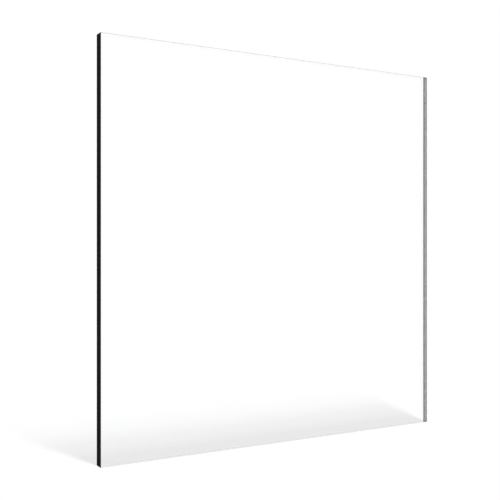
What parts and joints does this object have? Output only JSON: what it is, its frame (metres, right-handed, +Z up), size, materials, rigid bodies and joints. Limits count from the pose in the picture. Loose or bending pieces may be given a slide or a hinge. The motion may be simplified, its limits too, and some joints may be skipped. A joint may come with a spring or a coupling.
{
  "type": "clear acrylic sheet",
  "caption": "Square flat pane of clear, colourless plastic sheet with polished edges and a fine arris, used as raw stock for glazing, covers and fabrication.",
  "frame": {"origin": "centre of the underside, the face that the sheet lies on", "axes": "+Z up through the thickness; +X along the sheet's width and +Y along its length, both parallel to its edges"},
  "size_m": [0.25, 0.25, 0.006],
  "materials": {
    "clear_acrylic": "polished"
  },
  "bodies": {
    "root": {"acrylic_sheet": "clear_acrylic"}
  },
  "joints": []
}
